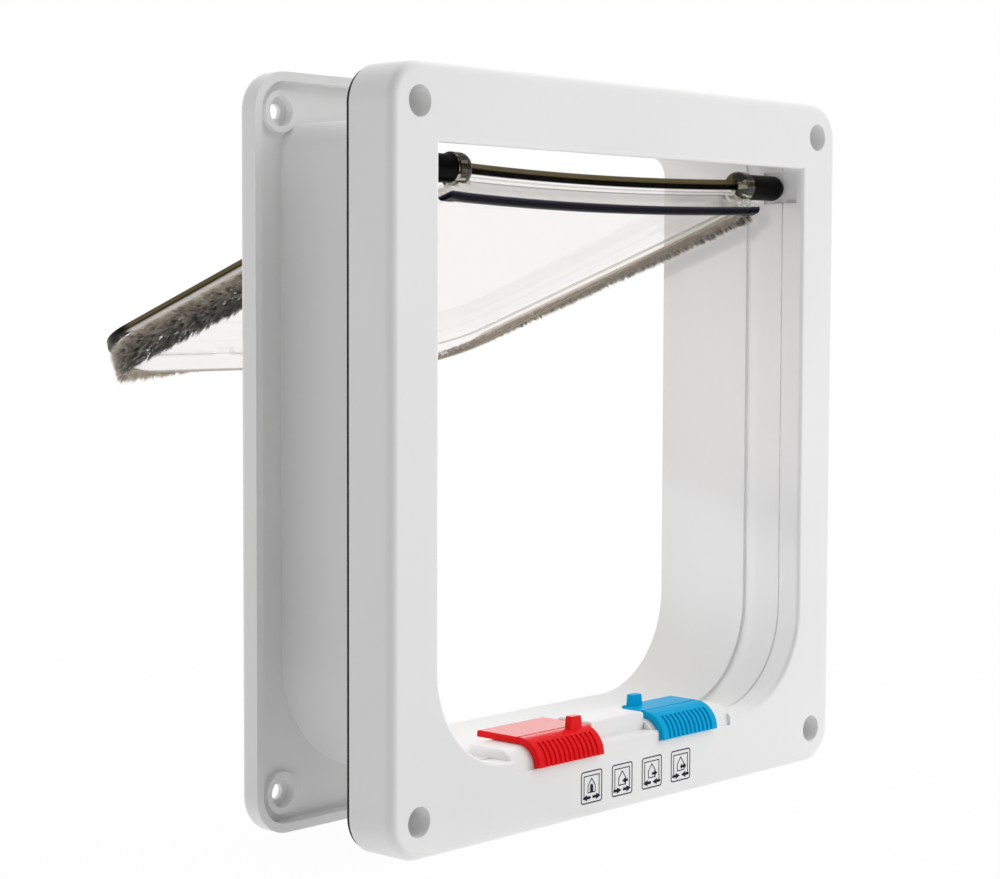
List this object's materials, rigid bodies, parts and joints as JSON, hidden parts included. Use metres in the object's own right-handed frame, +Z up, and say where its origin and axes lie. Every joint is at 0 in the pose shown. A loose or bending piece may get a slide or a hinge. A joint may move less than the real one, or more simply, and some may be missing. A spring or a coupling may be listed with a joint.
{
  "type": "cat flap",
  "caption": "White cat flap for a door: screwed frames with a tunnel, a clear swinging flap edged with pile, and red and blue sliding locks on the sill.",
  "frame": {"origin": "middle of the screw pattern, on the plane where the interior frame's back meets the door", "axes": "+X to the right as seen from the room, +Y away from the room, through the door, +Z up"},
  "size_m": [0.244, 0.1897, 0.25],
  "materials": {
    "white_plastic": "satin",
    "clear_plastic": "clear, lightly smoked",
    "grey_pile": "furry pile",
    "black_foam": "matte foam",
    "black_plastic": "semi-gloss",
    "steel": "plain",
    "red_plastic": "gloss",
    "blue_plastic": "gloss",
    "magnet": "dull ferrite"
  },
  "bodies": {
    "frame": {"interior_frame": "white_plastic", "exterior_frame": "white_plastic", "door_gasket": "black_foam", "hinge_bush_left": "black_plastic", "hinge_bush_right": "black_plastic", "hinge_pin_left": "steel", "hinge_pin_right": "steel", "magnet_cover": "white_plastic", "sill_magnet": "magnet"},
    "flap": {"flap_panel": "clear_plastic", "pile_strip_left": "grey_pile", "pile_strip_right": "grey_pile", "flap_magnet": "magnet"},
    "red_slider": {"red_lock_slider": "red_plastic"},
    "blue_slider": {"blue_lock_slider": "blue_plastic"}
  },
  "joints": [
    {"name": "flap_swing", "type": "hinge", "parent": "frame", "child": "flap", "pos_m": [0, -0.0047, 0.0934], "axis": [1, 0, 0], "range_deg": [-135, 15]},
    {"name": "red_lock_slide", "type": "slide", "parent": "frame", "child": "red_slider", "axis": [-1, 0, 0], "range_m": [0, 0.0094]},
    {"name": "blue_lock_slide", "type": "slide", "parent": "frame", "child": "blue_slider", "axis": [1, 0, 0], "range_m": [0, 0.0094]}
  ]
}
